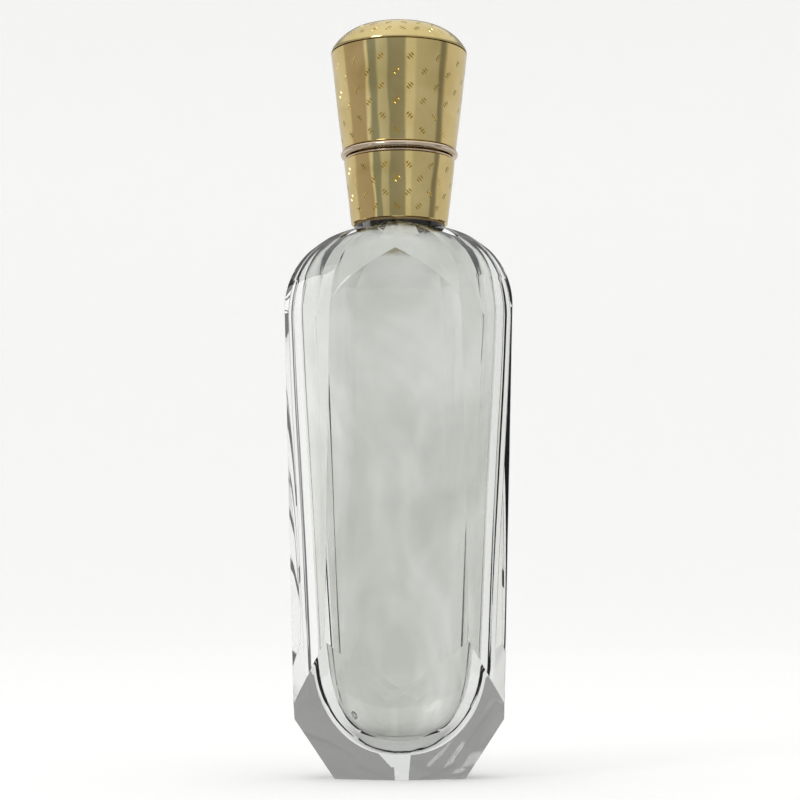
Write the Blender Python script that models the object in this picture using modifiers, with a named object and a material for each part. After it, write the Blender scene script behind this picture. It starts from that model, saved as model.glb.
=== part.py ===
"""A cut-crystal perfume bottle with an engraved gold mount: an octagonal glass body, a ground glass
stopper, a gold collar cemented round the neck, and a flaring gold lid hinged at the back.

The frame: +Z up, the origin at the middle of the base, the front towards -Y and the hinge at +Y.
"""

import math

import bmesh
import bpy
from mathutils import Matrix, Vector

MM = 0.001

# Glass body: a panel's distance from the axis is start + taper * height, given as (start, taper), up
# to its shoulder, an arc given as (height where it starts, radius).
SIDE_LINE, SIDE_ARC = (14.45 * MM, 0.0285), (67.0 * MM, 12.2 * MM)
CORNER_AZIMUTH = math.radians(45)
CORNER_LINE, CORNER_ARC = (14.5 * MM, 0.0), (65.0 * MM, 15.0 * MM)
FRONT_LINE = (10.25 * MM, 0.0155)

# The front and back run flat up to a pointed arch, between two facets that curve in to the neck.
TOP_FACET_AZIMUTH = math.radians(20)
TOP_FACET_LINE, TOP_FACET_ARC = (14.1 * MM, 0.0), (63.0 * MM, 20.0 * MM)

# Foot: each side is cut back to a narrow base, and four long facets run down from the front edges.
BASE_HALF_WIDTH = 9.16 * MM
SIDE_CUT_SLOPE = 0.656
BASE_FACET_AZIMUTH = math.radians(16.7)
BASE_FACET_LINE = (5.84 * MM, 0.3684)

# Shoulder: the panels end at this height, inside a cone, wider than deep, given as (radius, height).
BODY_TOP_Z = 79.15 * MM
SHOULDER_STEPS = 10
FLARE = ((6.4 * MM, 79.6 * MM), (6.95 * MM, 78.7 * MM), (9.6 * MM, 76.3 * MM), (17.0 * MM, 69.0 * MM))
FLARE_STRETCH = 1.25

# Neck, its seat under the collar, and its tapered bore, ground for the stopper.
NECK_R = 6.1 * MM
SEAT_R, SEAT_Z = 6.5 * MM, 79.2 * MM
NECK_ROOT = 2 * MM
LIP_Z = 90.3 * MM
LIP_CHAMFER = 0.5 * MM
BORE_TOP_R = 3.75 * MM
BORE_LOW_R, BORE_LOW_Z = 3.35 * MM, 82.0 * MM

# Cavity: rounded like blown glass, with walls that thicken towards the foot.
CAVITY_SIDE_LINE, CAVITY_FRONT_LINE = (10.2 * MM, 0.06), (7.25 * MM, 0.0155)
CAVITY_FLOOR_Z, CAVITY_FLOOR_RISE, CAVITY_FLOOR_CURVE = 4.2 * MM, 12.0 * MM, 2.2
CAVITY_SHOULDER_Z, CAVITY_NECK_Z = 65.5 * MM, 79.5 * MM
CAVITY_SQUARENESS = 2.4

# Stopper.
GROUND_GAP = 0.06 * MM
PLUG_TIP_Z = 82.2 * MM
SEAT_GAP = 0.3 * MM
HEAD_R, HEAD_TOP_R = 4.7 * MM, 3.3 * MM
HEAD_FLANGE, HEAD_HEIGHT, HEAD_BEVEL = 0.7 * MM, 4.6 * MM, 1.1 * MM
HEAD_FLAT_SHARE = 0.95
PLUG_CHAMFER = 0.4 * MM

# Gold mount: the collar and the lid are two stretches of one cone.
COLLAR_LOW_Z, COLLAR_TOP_Z = 79.4 * MM, 88.75 * MM
COLLAR_LOW_R, COLLAR_TOP_R = 7.0 * MM, 8.1 * MM
SHEET = 0.4 * MM
SOLDER_GAP = 0.1 * MM
TOP_RING_HEIGHT, TOP_RING_LIP = 0.3 * MM, 0.12 * MM
BEZEL_R, BEZEL_SHEET = 7.0 * MM, 0.3 * MM
BEZEL_LOW_Z, BEZEL_TOP_Z = 85.5 * MM, 90.9 * MM
BEZEL_LEAD_IN = 0.12 * MM
CEMENT_LOW_Z, CEMENT_TOP_Z = 79.8 * MM, 85.2 * MM

RIM_WIRE_Z, RIM_WIRE_R, RIM_WIRE_BULGE = 89.75 * MM, 8.12 * MM, 0.45 * MM
LID_LOW_Z, LID_LOW_R = 90.3 * MM, 8.3 * MM
LID_TOP_Z, LID_TOP_R = 104.8 * MM, 10.0 * MM

# The lid's top is three arcs, from its edge to its crown: an edge, a shoulder, and the crown, whose
# radius is what reaches the axis. An angle is the surface normal's, from straight up.
DOME_EDGE_R, DOME_EDGE_ANGLE = 1.0 * MM, math.radians(60)
DOME_SHOULDER_R, DOME_CROWN_ANGLE = 7.0 * MM, math.radians(10)
DOME_STEPS = 4
LINER_R, LINER_SHEET, LINER_LOW_Z = 7.55 * MM, 0.25 * MM, 89.55 * MM
LINER_STEP = 0.3 * MM

# Hinge.
HINGE_Y, HINGE_Z = 9.5 * MM, 89.2 * MM
KNUCKLE_R, KNUCKLE_BORE_R = 0.8 * MM, 0.42 * MM
KNUCKLE_LENGTH, KNUCKLE_GAP = 1.56 * MM, 0.1 * MM
KNUCKLE_NAMES = (
    "collar_knuckle_left",
    "lid_knuckle_left",
    "collar_knuckle_middle",
    "lid_knuckle_right",
    "collar_knuckle_right",
)
PIN_R, PIN_OVERHANG = 0.35 * MM, 0.12 * MM
BEARER_CLEAR = 0.05 * MM
BEARER_HEIGHT, BEARER_OFF_AXIS = 1.5 * MM, 0.25 * MM
BEARER_BACK, BEARER_FRONT = 0.2 * MM, 2.2 * MM

ROUND_STEPS = 48
TINY_MERGE = 0.000005
FAR = 60 * MM


def clear_scene():
    for obj in list(bpy.data.objects):
        bpy.data.objects.remove(obj, do_unlink=True)


def collection(name, shown):
    made = bpy.data.collections.new(name)
    made.hide_render = not shown
    bpy.context.scene.collection.children.link(made)
    return made


def material(name, color, metallic, roughness, transmission=0.0, ior=1.45):
    made = bpy.data.materials.new(name)
    made.use_nodes = True
    shader = made.node_tree.nodes["Principled BSDF"]
    shader.inputs["Base Color"].default_value = (*color, 1.0)
    shader.inputs["Metallic"].default_value = metallic
    shader.inputs["Roughness"].default_value = roughness
    shader.inputs["Transmission Weight"].default_value = transmission
    shader.inputs["IOR"].default_value = ior
    return made


def add(name, mesh, group, look=None):
    obj = bpy.data.objects.new(name, mesh)
    group.objects.link(obj)
    if look:
        obj.data.materials.append(look)
    return obj


def as_cutter(obj):
    obj.hide_render = True
    obj.display_type = "WIRE"
    return obj


def boolean(obj, operation, other):
    modifier = obj.modifiers.new(f"{operation.lower()}_{other.name}", "BOOLEAN")
    modifier.operation = operation
    modifier.object = other
    modifier.solver = "EXACT"


def turned(name, profile, group, look=None, closed=True, steps=ROUND_STEPS):
    """A turned solid. The profile is (radius, z) points down its outer side; a closed one is a ring."""
    mesh = bpy.data.meshes.new(name)
    count = len(profile)
    edges = [(i, i + 1) for i in range(count - 1)]
    if closed:
        edges.append((count - 1, 0))
    mesh.from_pydata([(r, 0.0, z) for r, z in profile], edges, [])
    obj = add(name, mesh, group, look)
    screw = obj.modifiers.new("turn", "SCREW")
    screw.steps = screw.render_steps = steps
    screw.use_merge_vertices = True
    screw.merge_threshold = TINY_MERGE
    screw.use_smooth_shade = True
    return obj


def extruded_outline(name, outline, azimuth, group):
    """A solid whose outline, as (distance, z) points, stands across the axis, facing this azimuth.
    Azimuth 0 faces -Y and a positive one turns towards +X."""
    curve = bpy.data.curves.new(name, "CURVE")
    curve.dimensions = "2D"
    curve.fill_mode = "BOTH"
    curve.extrude = FAR
    spline = curve.splines.new("POLY")
    spline.points.add(len(outline) - 1)
    for point, (distance, z) in zip(spline.points, outline):
        point.co = (distance, z, 0.0, 1.0)
    spline.use_cyclic_u = True
    flat = add(name + "_outline", curve, group)
    outward = Vector((math.sin(azimuth), -math.cos(azimuth), 0.0))
    up = Vector((0.0, 0.0, 1.0))
    flat.matrix_world = Matrix((outward, up, outward.cross(up))).transposed().to_4x4()
    return as_cutter(curve_to_mesh(flat, name, group))


def curve_to_mesh(flat, name, group):
    bpy.context.view_layer.update()
    graph = bpy.context.evaluated_depsgraph_get()
    mesh = bpy.data.meshes.new_from_object(flat.evaluated_get(graph))
    shape = bmesh.new()
    shape.from_mesh(mesh)
    bmesh.ops.remove_doubles(shape, verts=shape.verts, dist=TINY_MERGE)
    bmesh.ops.recalc_face_normals(shape, faces=shape.faces)
    shape.to_mesh(mesh)
    shape.free()
    obj = add(name, mesh, group)
    obj.matrix_world = flat.matrix_world
    bpy.data.objects.remove(flat, do_unlink=True)
    return obj


def panel_outline(line, arc, foot=()):
    """The outline of a pair of opposite panels: the foot's points, the straight wall, the shoulder."""
    start, taper = line
    right = list(foot) or [(start, 0.0)]
    if arc:
        arc_z, radius = arc
        centre = start + taper * arc_z - radius
        last = math.asin(min(1.0, (BODY_TOP_Z - arc_z) / radius))
        for step in range(SHOULDER_STEPS + 1):
            angle = last * step / SHOULDER_STEPS
            right.append((centre + radius * math.cos(angle), arc_z + radius * math.sin(angle)))
    else:
        right.append((start + taper * BODY_TOP_Z, BODY_TOP_Z))
    return right + [(-x, z) for x, z in reversed(right)]


def body_outlines():
    """(name, outline, azimuth) of each pair of cuts that shapes the body."""
    start, taper = SIDE_LINE
    cut_top = (start - BASE_HALF_WIDTH) / (SIDE_CUT_SLOPE - taper)
    side_foot = [(BASE_HALF_WIDTH, 0.0), (start + taper * cut_top, cut_top)]
    outlines = [
        ("side_panels", panel_outline(SIDE_LINE, SIDE_ARC, side_foot), math.radians(90)),
        ("front_panels", panel_outline(FRONT_LINE, None), 0.0),
    ]
    for side, turn in (("right", 1), ("left", -1)):
        outlines += [
            (f"corner_{side}", panel_outline(CORNER_LINE, CORNER_ARC), turn * CORNER_AZIMUTH),
            (f"top_{side}", panel_outline(TOP_FACET_LINE, TOP_FACET_ARC), turn * TOP_FACET_AZIMUTH),
            (f"base_{side}", panel_outline(BASE_FACET_LINE, None), turn * BASE_FACET_AZIMUTH),
        ]
    return outlines


def cavity_half_sizes(z):
    """The cavity's half width and half depth at this height."""
    half_width = CAVITY_SIDE_LINE[0] + CAVITY_SIDE_LINE[1] * z
    half_depth = CAVITY_FRONT_LINE[0] + CAVITY_FRONT_LINE[1] * z
    if z < CAVITY_FLOOR_Z + CAVITY_FLOOR_RISE:
        below = (CAVITY_FLOOR_Z + CAVITY_FLOOR_RISE - z) / CAVITY_FLOOR_RISE
        share = max(0.0, 1 - below**CAVITY_FLOOR_CURVE) ** (1 / CAVITY_FLOOR_CURVE)
        return half_width * share, half_depth * share
    if z > CAVITY_SHOULDER_Z:
        rise = (z - CAVITY_SHOULDER_Z) / (CAVITY_NECK_Z - CAVITY_SHOULDER_Z)
        share = math.sqrt(max(0.0, 1 - min(1.0, rise) ** 2))
        return (
            BORE_LOW_R + (half_width - BORE_LOW_R) * share,
            BORE_LOW_R + (half_depth - BORE_LOW_R) * share,
        )
    return half_width, half_depth


def ring_points(half_width, half_depth, z, squareness):
    points = []
    for step in range(ROUND_STEPS):
        angle = 2 * math.pi * step / ROUND_STEPS
        c, s = math.cos(angle), math.sin(angle)
        reach = (
            abs(c / half_width) ** squareness + abs(s / half_depth) ** squareness
        ) ** (-1 / squareness)
        points.append(Vector((reach * c, reach * s, z)))
    return points


def cavity_rings():
    """Rings from the cavity's floor to above the lip, as (half width, half depth, z, squareness)."""
    rings = []
    floor_steps, wall_steps, shoulder_steps = 9, 3, 10
    for step in range(1, floor_steps):
        angle = step / floor_steps * math.pi / 2
        z = CAVITY_FLOOR_Z + CAVITY_FLOOR_RISE * (1 - math.cos(angle))
        rings.append((*cavity_half_sizes(z), z, CAVITY_SQUARENESS))
    wall_low = CAVITY_FLOOR_Z + CAVITY_FLOOR_RISE
    for step in range(wall_steps):
        z = wall_low + (CAVITY_SHOULDER_Z - wall_low) * step / wall_steps
        rings.append((*cavity_half_sizes(z), z, CAVITY_SQUARENESS))
    for step in range(shoulder_steps + 1):
        share = step / shoulder_steps
        rise = math.sin(share * math.pi / 2)
        z = CAVITY_SHOULDER_Z + (CAVITY_NECK_Z - CAVITY_SHOULDER_Z) * rise
        squareness = CAVITY_SQUARENESS + (2 - CAVITY_SQUARENESS) * share
        rings.append((*cavity_half_sizes(z), z, squareness))
    rings.append((BORE_LOW_R, BORE_LOW_R, BORE_LOW_Z, 2))
    above = 1 * MM
    flare = (BORE_TOP_R - BORE_LOW_R) / (LIP_Z - BORE_LOW_Z)
    top_r = BORE_TOP_R + flare * above
    rings.append((top_r, top_r, LIP_Z + above, 2))
    return rings


def cavity(group):
    """The blown hollow and the bore as one loft, closed at both ends with a fan."""
    shape = bmesh.new()
    rings = [[shape.verts.new(p) for p in ring_points(*r)] for r in cavity_rings()]
    for low, high in zip(rings, rings[1:]):
        for i in range(ROUND_STEPS):
            j = (i + 1) % ROUND_STEPS
            shape.faces.new((low[i], low[j], high[j], high[i]))
    floor = shape.verts.new((0.0, 0.0, CAVITY_FLOOR_Z))
    for i in range(ROUND_STEPS):
        shape.faces.new((rings[0][(i + 1) % ROUND_STEPS], rings[0][i], floor))
    shape.faces.new(rings[-1])
    bmesh.ops.recalc_face_normals(shape, faces=shape.faces)
    mesh = bpy.data.meshes.new("cavity")
    shape.to_mesh(mesh)
    shape.free()
    return as_cutter(add("cavity", mesh, group))


def glass_body(parts, cutters, look):
    outlines = body_outlines()
    name, outline, azimuth = outlines[0]
    first = extruded_outline(name, outline, azimuth, cutters)
    body = add("bottle_body", first.data.copy(), parts, look)
    body.matrix_world = first.matrix_world
    bpy.data.objects.remove(first, do_unlink=True)
    for name, outline, azimuth in outlines[1:]:
        boolean(body, "INTERSECT", extruded_outline(name, outline, azimuth, cutters))
    low = -1 * MM
    flare_profile = [(0.0, FLARE[0][1]), *FLARE, (FLARE[-1][0], low), (0.0, low)]
    flare = turned("flare", flare_profile, cutters, closed=False)
    flare.scale.x = FLARE_STRETCH
    boolean(body, "INTERSECT", as_cutter(flare))
    neck_low = BODY_TOP_Z - NECK_ROOT
    neck_profile = [
        (0.0, LIP_Z),
        (NECK_R - LIP_CHAMFER, LIP_Z),
        (NECK_R, LIP_Z - LIP_CHAMFER),
        (NECK_R, SEAT_Z),
        (SEAT_R, SEAT_Z),
        (SEAT_R, neck_low),
        (0.0, neck_low),
    ]
    neck = turned("neck", neck_profile, cutters, closed=False)
    boolean(body, "UNION", as_cutter(neck))
    boolean(body, "DIFFERENCE", cavity(cutters))


def stopper(parts, cutters, look):
    """A tapered plug ground to the bore, with a flange and an eight-sided bevelled head."""
    seat = LIP_Z + SEAT_GAP
    flare = (BORE_TOP_R - BORE_LOW_R) / (LIP_Z - BORE_LOW_Z)
    plug_top_r = BORE_TOP_R - GROUND_GAP
    plug_low_r = plug_top_r - flare * (LIP_Z - PLUG_TIP_Z)
    head_top = seat + HEAD_HEIGHT
    profile = [
        (0.0, head_top),
        (HEAD_TOP_R, head_top),
        (HEAD_R, head_top - HEAD_BEVEL),
        (HEAD_R, seat + HEAD_FLANGE),
        (HEAD_R - HEAD_FLANGE, seat),
        (plug_top_r, seat),
        (plug_top_r, LIP_Z),
        (plug_low_r, PLUG_TIP_Z + PLUG_CHAMFER),
        (plug_low_r - PLUG_CHAMFER, PLUG_TIP_Z),
        (0.0, PLUG_TIP_Z),
    ]
    piece = turned("stopper", profile, parts, look, closed=False)
    flats = octagon_prism("stopper_flats", HEAD_R * HEAD_FLAT_SHARE, cutters)
    boolean(piece, "INTERSECT", flats)


def octagon_prism(name, apothem, group):
    """A tall eight-sided prism round the axis, with a flat side to the front."""
    shape = bmesh.new()
    corner_r = apothem / math.cos(math.pi / 8)
    bmesh.ops.create_cone(
        shape,
        cap_ends=True,
        segments=8,
        radius1=corner_r,
        radius2=corner_r,
        depth=2 * FAR,
        matrix=Matrix.Translation((0, 0, LIP_Z)) @ Matrix.Rotation(math.pi / 8, 4, "Z"),
    )
    mesh = bpy.data.meshes.new(name)
    shape.to_mesh(mesh)
    shape.free()
    return as_cutter(add(name, mesh, group))


def collar_r(z):
    share = (z - COLLAR_LOW_Z) / (COLLAR_TOP_Z - COLLAR_LOW_Z)
    return COLLAR_LOW_R + (COLLAR_TOP_R - COLLAR_LOW_R) * share


def lid_r(z):
    share = (z - LID_LOW_Z) / (LID_TOP_Z - LID_LOW_Z)
    return LID_LOW_R + (LID_TOP_R - LID_LOW_R) * share


def sleeve_profile(radius_at, low, top, sheet):
    return [
        (radius_at(top), top),
        (radius_at(low), low),
        (radius_at(low) - sheet, low),
        (radius_at(top) - sheet, top),
    ]


def collar(parts, gold, rose, plaster):
    turned(
        "collar_sleeve",
        sleeve_profile(collar_r, COLLAR_LOW_Z, COLLAR_TOP_Z, SHEET),
        parts,
        gold,
    )
    ring_low = COLLAR_TOP_Z + SOLDER_GAP
    ring_top = ring_low + TOP_RING_HEIGHT
    outer, inner = COLLAR_TOP_R + TOP_RING_LIP, BEZEL_R + SOLDER_GAP
    middle = (ring_low + ring_top) / 2
    ring = [
        (outer - TOP_RING_LIP, ring_top),
        (outer, middle),
        (outer - TOP_RING_LIP, ring_low),
        (inner, ring_low),
        (inner, ring_top),
    ]
    turned("collar_top_ring", ring, parts, rose)
    bezel = [
        (BEZEL_R - BEZEL_LEAD_IN, BEZEL_TOP_Z),
        (BEZEL_R, BEZEL_TOP_Z - BEZEL_LEAD_IN),
        (BEZEL_R, BEZEL_LOW_Z),
        (BEZEL_R - BEZEL_SHEET, BEZEL_LOW_Z),
        (BEZEL_R - BEZEL_SHEET, BEZEL_TOP_Z),
    ]
    turned("bezel_tube", bezel, parts, gold)
    outside = SHEET + SOLDER_GAP
    cement = [
        (collar_r(CEMENT_TOP_Z) - outside, CEMENT_TOP_Z),
        (collar_r(CEMENT_LOW_Z) - outside, CEMENT_LOW_Z),
        (NECK_R + SOLDER_GAP, CEMENT_LOW_Z),
        (NECK_R + SOLDER_GAP, CEMENT_TOP_Z),
    ]
    turned("neck_cement", cement, parts, plaster)


def dome_profile(inset):
    """The lid's top from its apex outwards and down, this far inside its outer face."""
    arcs = [
        (DOME_EDGE_R, math.pi / 2, DOME_EDGE_ANGLE),
        (DOME_SHOULDER_R, DOME_EDGE_ANGLE, DOME_CROWN_ANGLE),
    ]
    r, z = LID_TOP_R, LID_TOP_Z
    points = []
    for radius, start, end in arcs + [(None, DOME_CROWN_ANGLE, 0.0)]:
        radius = radius or r / math.sin(start)
        centre_r, centre_z = r - radius * math.sin(start), z - radius * math.cos(start)
        for step in range(DOME_STEPS + 1):
            angle = start + (end - start) * step / DOME_STEPS
            if step or not points:
                reach = radius - inset
                points.append((centre_r + reach * math.sin(angle), centre_z + reach * math.cos(angle)))
        r, z = centre_r + radius * math.sin(end), centre_z + radius * math.cos(end)
    points[-1] = (0.0, points[-1][1])
    return list(reversed(points))


def shell_profile(outer, inner):
    """A cup's section: down its outside and back up its inside."""
    return outer + list(reversed(inner))


def lid(parts, gold, rose):
    wall_top = LID_TOP_Z - SOLDER_GAP
    turned("lid_wall", sleeve_profile(lid_r, LID_LOW_Z, wall_top, SHEET), parts, gold)
    dome = shell_profile(dome_profile(0.0), dome_profile(SHEET))
    turned("lid_dome", dome, parts, gold, closed=False)
    wire = [(RIM_WIRE_R - RIM_WIRE_BULGE + SOLDER_GAP, RIM_WIRE_Z + RIM_WIRE_BULGE)]
    bulge_steps = 8
    for step in range(bulge_steps + 1):
        angle = math.pi * step / bulge_steps
        wire.append(
            (
                RIM_WIRE_R + RIM_WIRE_BULGE * math.sin(angle),
                RIM_WIRE_Z + RIM_WIRE_BULGE * math.cos(angle),
            )
        )
    wire.append(
        (RIM_WIRE_R - RIM_WIRE_BULGE + SOLDER_GAP, RIM_WIRE_Z - RIM_WIRE_BULGE)
    )
    turned("lid_rim_wire", wire, parts, rose)

    inset = SHEET + SOLDER_GAP
    straight_top = LID_LOW_Z + LINER_STEP
    outer = dome_profile(inset) + [
        (LINER_R, straight_top),
        (LINER_R, LINER_LOW_Z),
    ]
    inner = dome_profile(inset + LINER_SHEET) + [
        (LINER_R - LINER_SHEET, straight_top),
        (LINER_R - LINER_SHEET, LINER_LOW_Z),
    ]
    turned("lid_liner", shell_profile(outer, inner), parts, gold, closed=False)


def along_x(name, radius, length, centre_x, group, look=None, steps=ROUND_STEPS // 2):
    """A cylinder on the hinge's axis."""
    shape = bmesh.new()
    place = Matrix.Rotation(math.pi / 2, 4, "Y")
    bmesh.ops.create_cone(
        shape,
        cap_ends=True,
        segments=steps,
        radius1=radius,
        radius2=radius,
        depth=length,
        matrix=place,
    )
    mesh = bpy.data.meshes.new(name)
    shape.to_mesh(mesh)
    shape.free()
    obj = add(name, mesh, group, look)
    obj.location = (centre_x, HINGE_Y, HINGE_Z)
    return obj


def bearer(name, low_z, high_z, radius_at, parts, cutters, look):
    """The block that carries the knuckles, hollowed to the mount's wall and round the knuckles."""
    half_length = hinge_length() / 2
    y_low, y_high = HINGE_Y - BEARER_FRONT, HINGE_Y - BEARER_BACK
    shape = bmesh.new()
    bmesh.ops.create_cube(shape, size=1.0)
    bmesh.ops.scale(
        shape,
        verts=shape.verts,
        vec=(2 * half_length, y_high - y_low, high_z - low_z),
    )
    mesh = bpy.data.meshes.new(name)
    shape.to_mesh(mesh)
    shape.free()
    obj = add(name, mesh, parts, look)
    obj.location = (0.0, (y_low + y_high) / 2, (low_z + high_z) / 2)
    beyond = 0.5 * MM
    wall = [
        (0.0, high_z + beyond),
        (radius_at(high_z + beyond) + SOLDER_GAP, high_z + beyond),
        (radius_at(low_z - beyond) + SOLDER_GAP, low_z - beyond),
        (0.0, low_z - beyond),
    ]
    boolean(obj, "DIFFERENCE", as_cutter(turned(name + "_wall", wall, cutters, closed=False)))
    room = along_x(
        name + "_room", KNUCKLE_R + BEARER_CLEAR, 4 * half_length, 0.0, cutters
    )
    boolean(obj, "DIFFERENCE", as_cutter(room))


def hinge_length():
    count = len(KNUCKLE_NAMES)
    return count * KNUCKLE_LENGTH + (count - 1) * KNUCKLE_GAP


def hinge(parts, cutters, gold, rose):
    bore = along_x("knuckle_bore", KNUCKLE_BORE_R, 2 * FAR, 0.0, cutters)
    as_cutter(bore)
    for index, name in enumerate(KNUCKLE_NAMES):
        offset = index * (KNUCKLE_LENGTH + KNUCKLE_GAP) + KNUCKLE_LENGTH / 2
        knuckle = along_x(
            name, KNUCKLE_R, KNUCKLE_LENGTH, offset - hinge_length() / 2, parts, rose
        )
        boolean(knuckle, "DIFFERENCE", bore)
    along_x("hinge_pin", PIN_R, hinge_length() + 2 * PIN_OVERHANG, 0.0, parts, rose)
    collar_high = HINGE_Z - BEARER_OFF_AXIS
    bearer(
        "collar_hinge_bearer",
        collar_high - BEARER_HEIGHT,
        collar_high,
        lambda z: COLLAR_TOP_R + TOP_RING_LIP,
        parts,
        cutters,
        gold,
    )
    lid_low = HINGE_Z + BEARER_OFF_AXIS
    bearer(
        "lid_hinge_bearer",
        lid_low,
        lid_low + BEARER_HEIGHT,
        lambda z: RIM_WIRE_R + RIM_WIRE_BULGE,
        parts,
        cutters,
        gold,
    )


def main():
    clear_scene()
    parts = collection("perfume_bottle", shown=True)
    cutters = collection("cutters", shown=False)
    crystal = material("crystal", (0.93, 0.95, 0.93), 0.0, 0.02, 1.0, 1.55)
    gold = material("gold", (0.78, 0.60, 0.28), 1.0, 0.18)
    rose = material("rose_gold", (0.76, 0.53, 0.40), 1.0, 0.22)
    plaster = material("plaster", (0.52, 0.42, 0.26), 0.0, 0.85)
    glass_body(parts, cutters, crystal)
    stopper(parts, cutters, crystal)
    collar(parts, gold, rose, plaster)
    lid(parts, gold, rose)
    hinge(parts, cutters, gold, rose)


main()
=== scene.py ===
"""The looks of a cut-crystal perfume bottle with an engraved gold mount, built round its CAD frame."""

import math

import bmesh
import bpy
from mathutils import Matrix, Quaternion, Vector, noise

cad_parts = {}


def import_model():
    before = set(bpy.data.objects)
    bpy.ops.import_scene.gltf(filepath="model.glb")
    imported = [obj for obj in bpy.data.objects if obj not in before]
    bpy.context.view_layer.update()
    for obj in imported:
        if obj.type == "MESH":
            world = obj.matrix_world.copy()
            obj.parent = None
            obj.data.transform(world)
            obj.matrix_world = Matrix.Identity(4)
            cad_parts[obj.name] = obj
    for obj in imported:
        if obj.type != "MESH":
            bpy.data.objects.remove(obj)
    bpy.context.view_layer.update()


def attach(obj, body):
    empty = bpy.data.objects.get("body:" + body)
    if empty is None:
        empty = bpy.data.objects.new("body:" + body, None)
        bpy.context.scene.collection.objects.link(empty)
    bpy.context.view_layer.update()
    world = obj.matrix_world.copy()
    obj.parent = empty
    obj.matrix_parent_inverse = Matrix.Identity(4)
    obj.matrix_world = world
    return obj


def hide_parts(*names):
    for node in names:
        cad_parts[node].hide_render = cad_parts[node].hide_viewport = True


MM = 0.001

# Camera and stage
CAMERA_DISTANCE, CAMERA_HEIGHT, CAMERA_AZIMUTH = 297 * MM, 23 * MM, 3
CAMERA_AIM_Z = 53.8 * MM
CAMERA_LENS = 93.0
CAMERA_ROLL = math.radians(-0.16)
BOWL_RADIUS, BOWL_SWEEP, BOWL_HEIGHT = 2.0, 0.5, 0.8
# The room's light round its horizon, as (azimuth in degrees from the front, brightness, warmth)
HORIZON = (
    (-180, 0.66, 0.0), (-106, 0.68, 0.02), (-100, 0.42, 0.08), (-60, 0.38, 0.08),
    (-57, 0.7, 0.0), (-54, 0.7, 0.0), (-51, 0.3, -0.1), (-40, 0.32, -0.1), (-36, 0.56, -0.03),
    (-18, 0.5, -0.03), (-14, 0.3, -0.05), (14, 0.33, -0.03), (18, 0.68, 0.0), (28, 0.66, 0.0),
    (32, 0.52, 0.0), (75, 0.46, 0.0), (79, 0.22, 0.0), (88, 0.24, 0.0), (96, 0.62, 0.03),
    (180, 0.66, 0.0),
)
# Its light by height, as (height of the direction, from -1 straight down to 1 straight up, brightness),
# and the heights, up or down, between which this takes over from the horizon
HEIGHTS = (
    (-1.0, 0.12), (-0.88, 0.12), (-0.75, 0.45), (-0.3, 0.42), (0.3, 0.36), (0.5, 0.36),
    (0.62, 0.78), (1.0, 0.85),
)
HORIZON_BLEND = (0.24, 0.36)

# Glass body, as the CAD has it but for finer steps and polished edges: a panel's distance from the axis
# is start + taper * height, and its shoulder is an arc, given as (height where it starts, radius).
SIDE_LINE, SIDE_ARC = (14.45 * MM, 0.0285), (67.0 * MM, 12.2 * MM)
FRONT_LINE = (10.25 * MM, 0.0155)
CORNER_AZIMUTH, CORNER_LINE, CORNER_ARC = 45, (14.5 * MM, 0.0), (65.0 * MM, 15.0 * MM)
TOP_FACET_AZIMUTH, TOP_FACET_LINE, TOP_FACET_ARC = 20, (14.1 * MM, 0.0), (63.0 * MM, 20.0 * MM)
FOOT_FACET_AZIMUTH, FOOT_FACET_LINE = 16.7, (5.84 * MM, 0.3684)
FOOT_CUT_LINE = (9.16 * MM, 0.656)
BODY_TOP_Z = 79.15 * MM
ARC_STEPS = 26
EDGE_POLISH = 0.09 * MM
# The flare that draws the shoulders in to the neck, as (half depth, z) in mm from its top down, and how
# much wider than deep it is
FLARE = [(6.4, 79.6), (6.95, 78.7), (9.6, 76.3), (17.0, 69.0), (17.0, -1.0)]
FLARE_STRETCH = 1.25

NECK_R, LIP_Z, LIP_ROUND = 6.1 * MM, 90.3 * MM, 0.5 * MM
SEAT_R, SEAT_Z = 6.5 * MM, 79.2 * MM
BORE_TOP_R, BORE_LOW_R, BORE_LOW_Z = 3.75 * MM, 3.35 * MM, 82.0 * MM

CAVITY_SIDE_LINE, CAVITY_FRONT_LINE = (10.2 * MM, 0.06), (7.25 * MM, 0.0155)
CAVITY_FLOOR_Z, CAVITY_FLOOR_RISE, CAVITY_FLOOR_CURVE = 4.2 * MM, 12.0 * MM, 2.2
CAVITY_SHOULDER_Z, CAVITY_NECK_Z = 65.5 * MM, 79.5 * MM
CAVITY_SQUARENESS = 2.4
CAVITY_SEGMENTS = 160
# The blown wall's ripple: its depth, how quickly it changes round the cavity, and over what height
CAVITY_RIPPLE, RIPPLE_TURN, RIPPLE_RISE = 0.14 * MM, 2.2, 22 * MM
# A glass face belongs to the wall inside if it lies near the cavity's outline: an allowance on the half
# sizes, then a limit on the sum of its squared shares of them, below the neck and in it
INSIDE_ALLOWANCE, INSIDE_LIMIT, BORE_LIMIT = 0.3 * MM, 1.35, 1.13
# Heights over which the inner wall turns to the dark brown painted shade, from the root of the neck up
PAINTED_SHADE_LOW_Z, PAINTED_SHADE_TOP_Z = 76.9 * MM, 77.7 * MM
BUBBLE_PLACE, BUBBLE_SIZE = (-6.0 * MM, -6.5 * MM, 9.2 * MM), (0.42 * MM, 0.34 * MM, 0.62 * MM)
CRYSTAL_COLOR, CRYSTAL_IOR = (0.815, 0.826, 0.803), 1.55

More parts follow.
